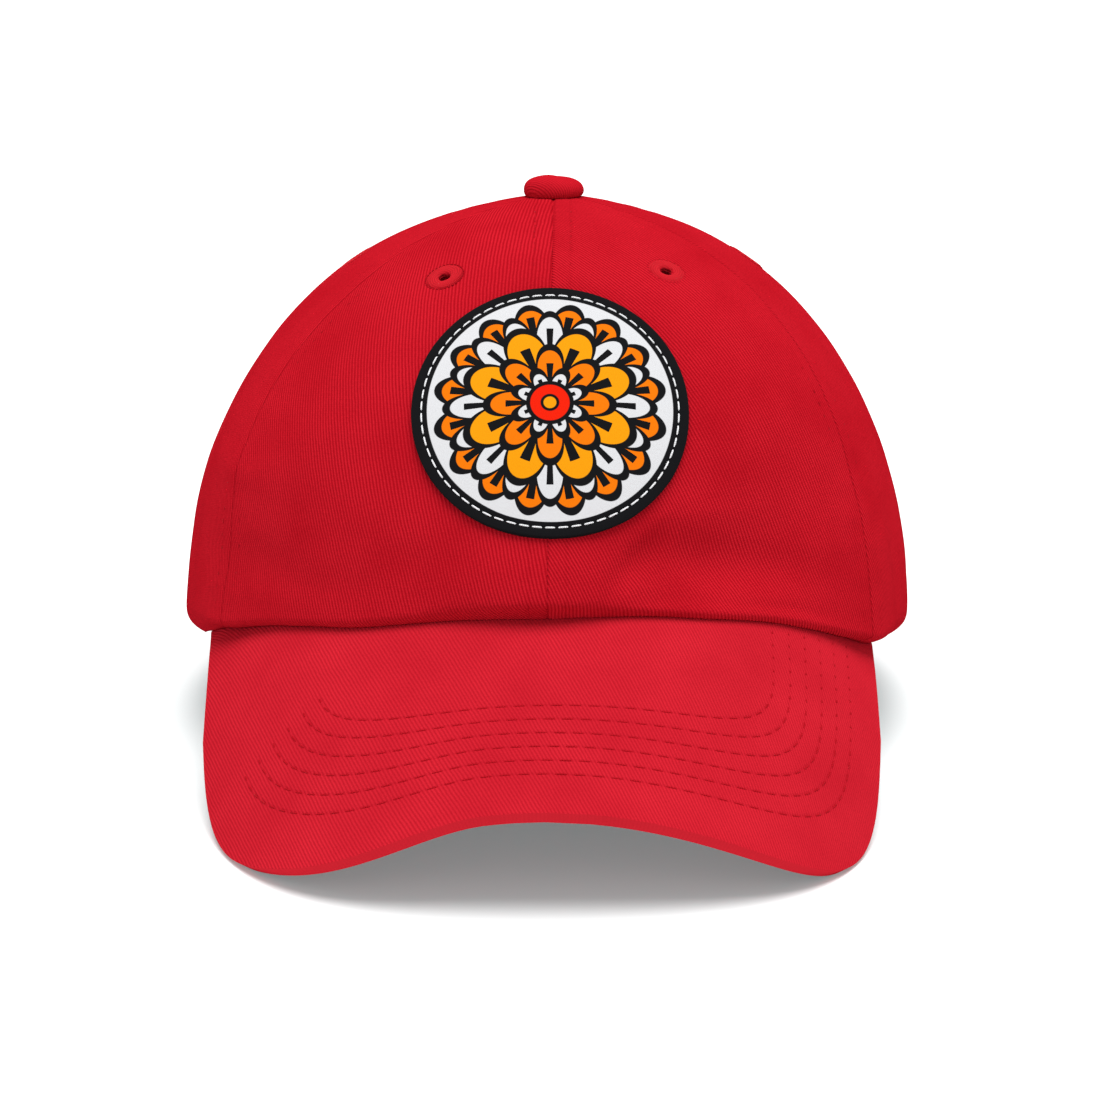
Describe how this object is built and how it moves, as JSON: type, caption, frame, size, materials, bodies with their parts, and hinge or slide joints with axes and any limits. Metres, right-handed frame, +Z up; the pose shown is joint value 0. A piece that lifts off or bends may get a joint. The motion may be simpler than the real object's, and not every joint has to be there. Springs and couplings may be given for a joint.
{
  "type": "dad hat",
  "caption": "Soft cotton cap with a curved visor, a round front patch, sewn eyelets and a strap with a metal slide behind.",
  "frame": {"origin": "on the surface that the hat rests on, under the middle of its box", "axes": "-Y is the front with the visor, +X is to the right for someone who faces the hat, +Z up"},
  "size_m": [0.1834, 0.2527, 0.1349],
  "materials": {
    "cotton_twill": "washed red cotton twill",
    "eyelet_thread": "red sewing thread",
    "sweatband_cotton": "plain red cotton",
    "patch_cloth": "printed canvas on a black ground",
    "buckle_metal": "satin"
  },
  "bodies": {
    "root": {"front_left_panel": "cotton_twill", "front_right_panel": "cotton_twill", "side_left_panel": "cotton_twill", "side_right_panel": "cotton_twill", "back_left_panel": "cotton_twill", "back_right_panel": "cotton_twill", "visor": "cotton_twill", "button": "cotton_twill", "eyelet_1": "eyelet_thread", "eyelet_2": "eyelet_thread", "eyelet_3": "eyelet_thread", "eyelet_4": "eyelet_thread", "eyelet_5": "eyelet_thread", "eyelet_6": "eyelet_thread", "sweatband": "sweatband_cotton", "patch": "patch_cloth", "closure_strap": "cotton_twill", "closure_buckle": "buckle_metal"}
  },
  "joints": []
}
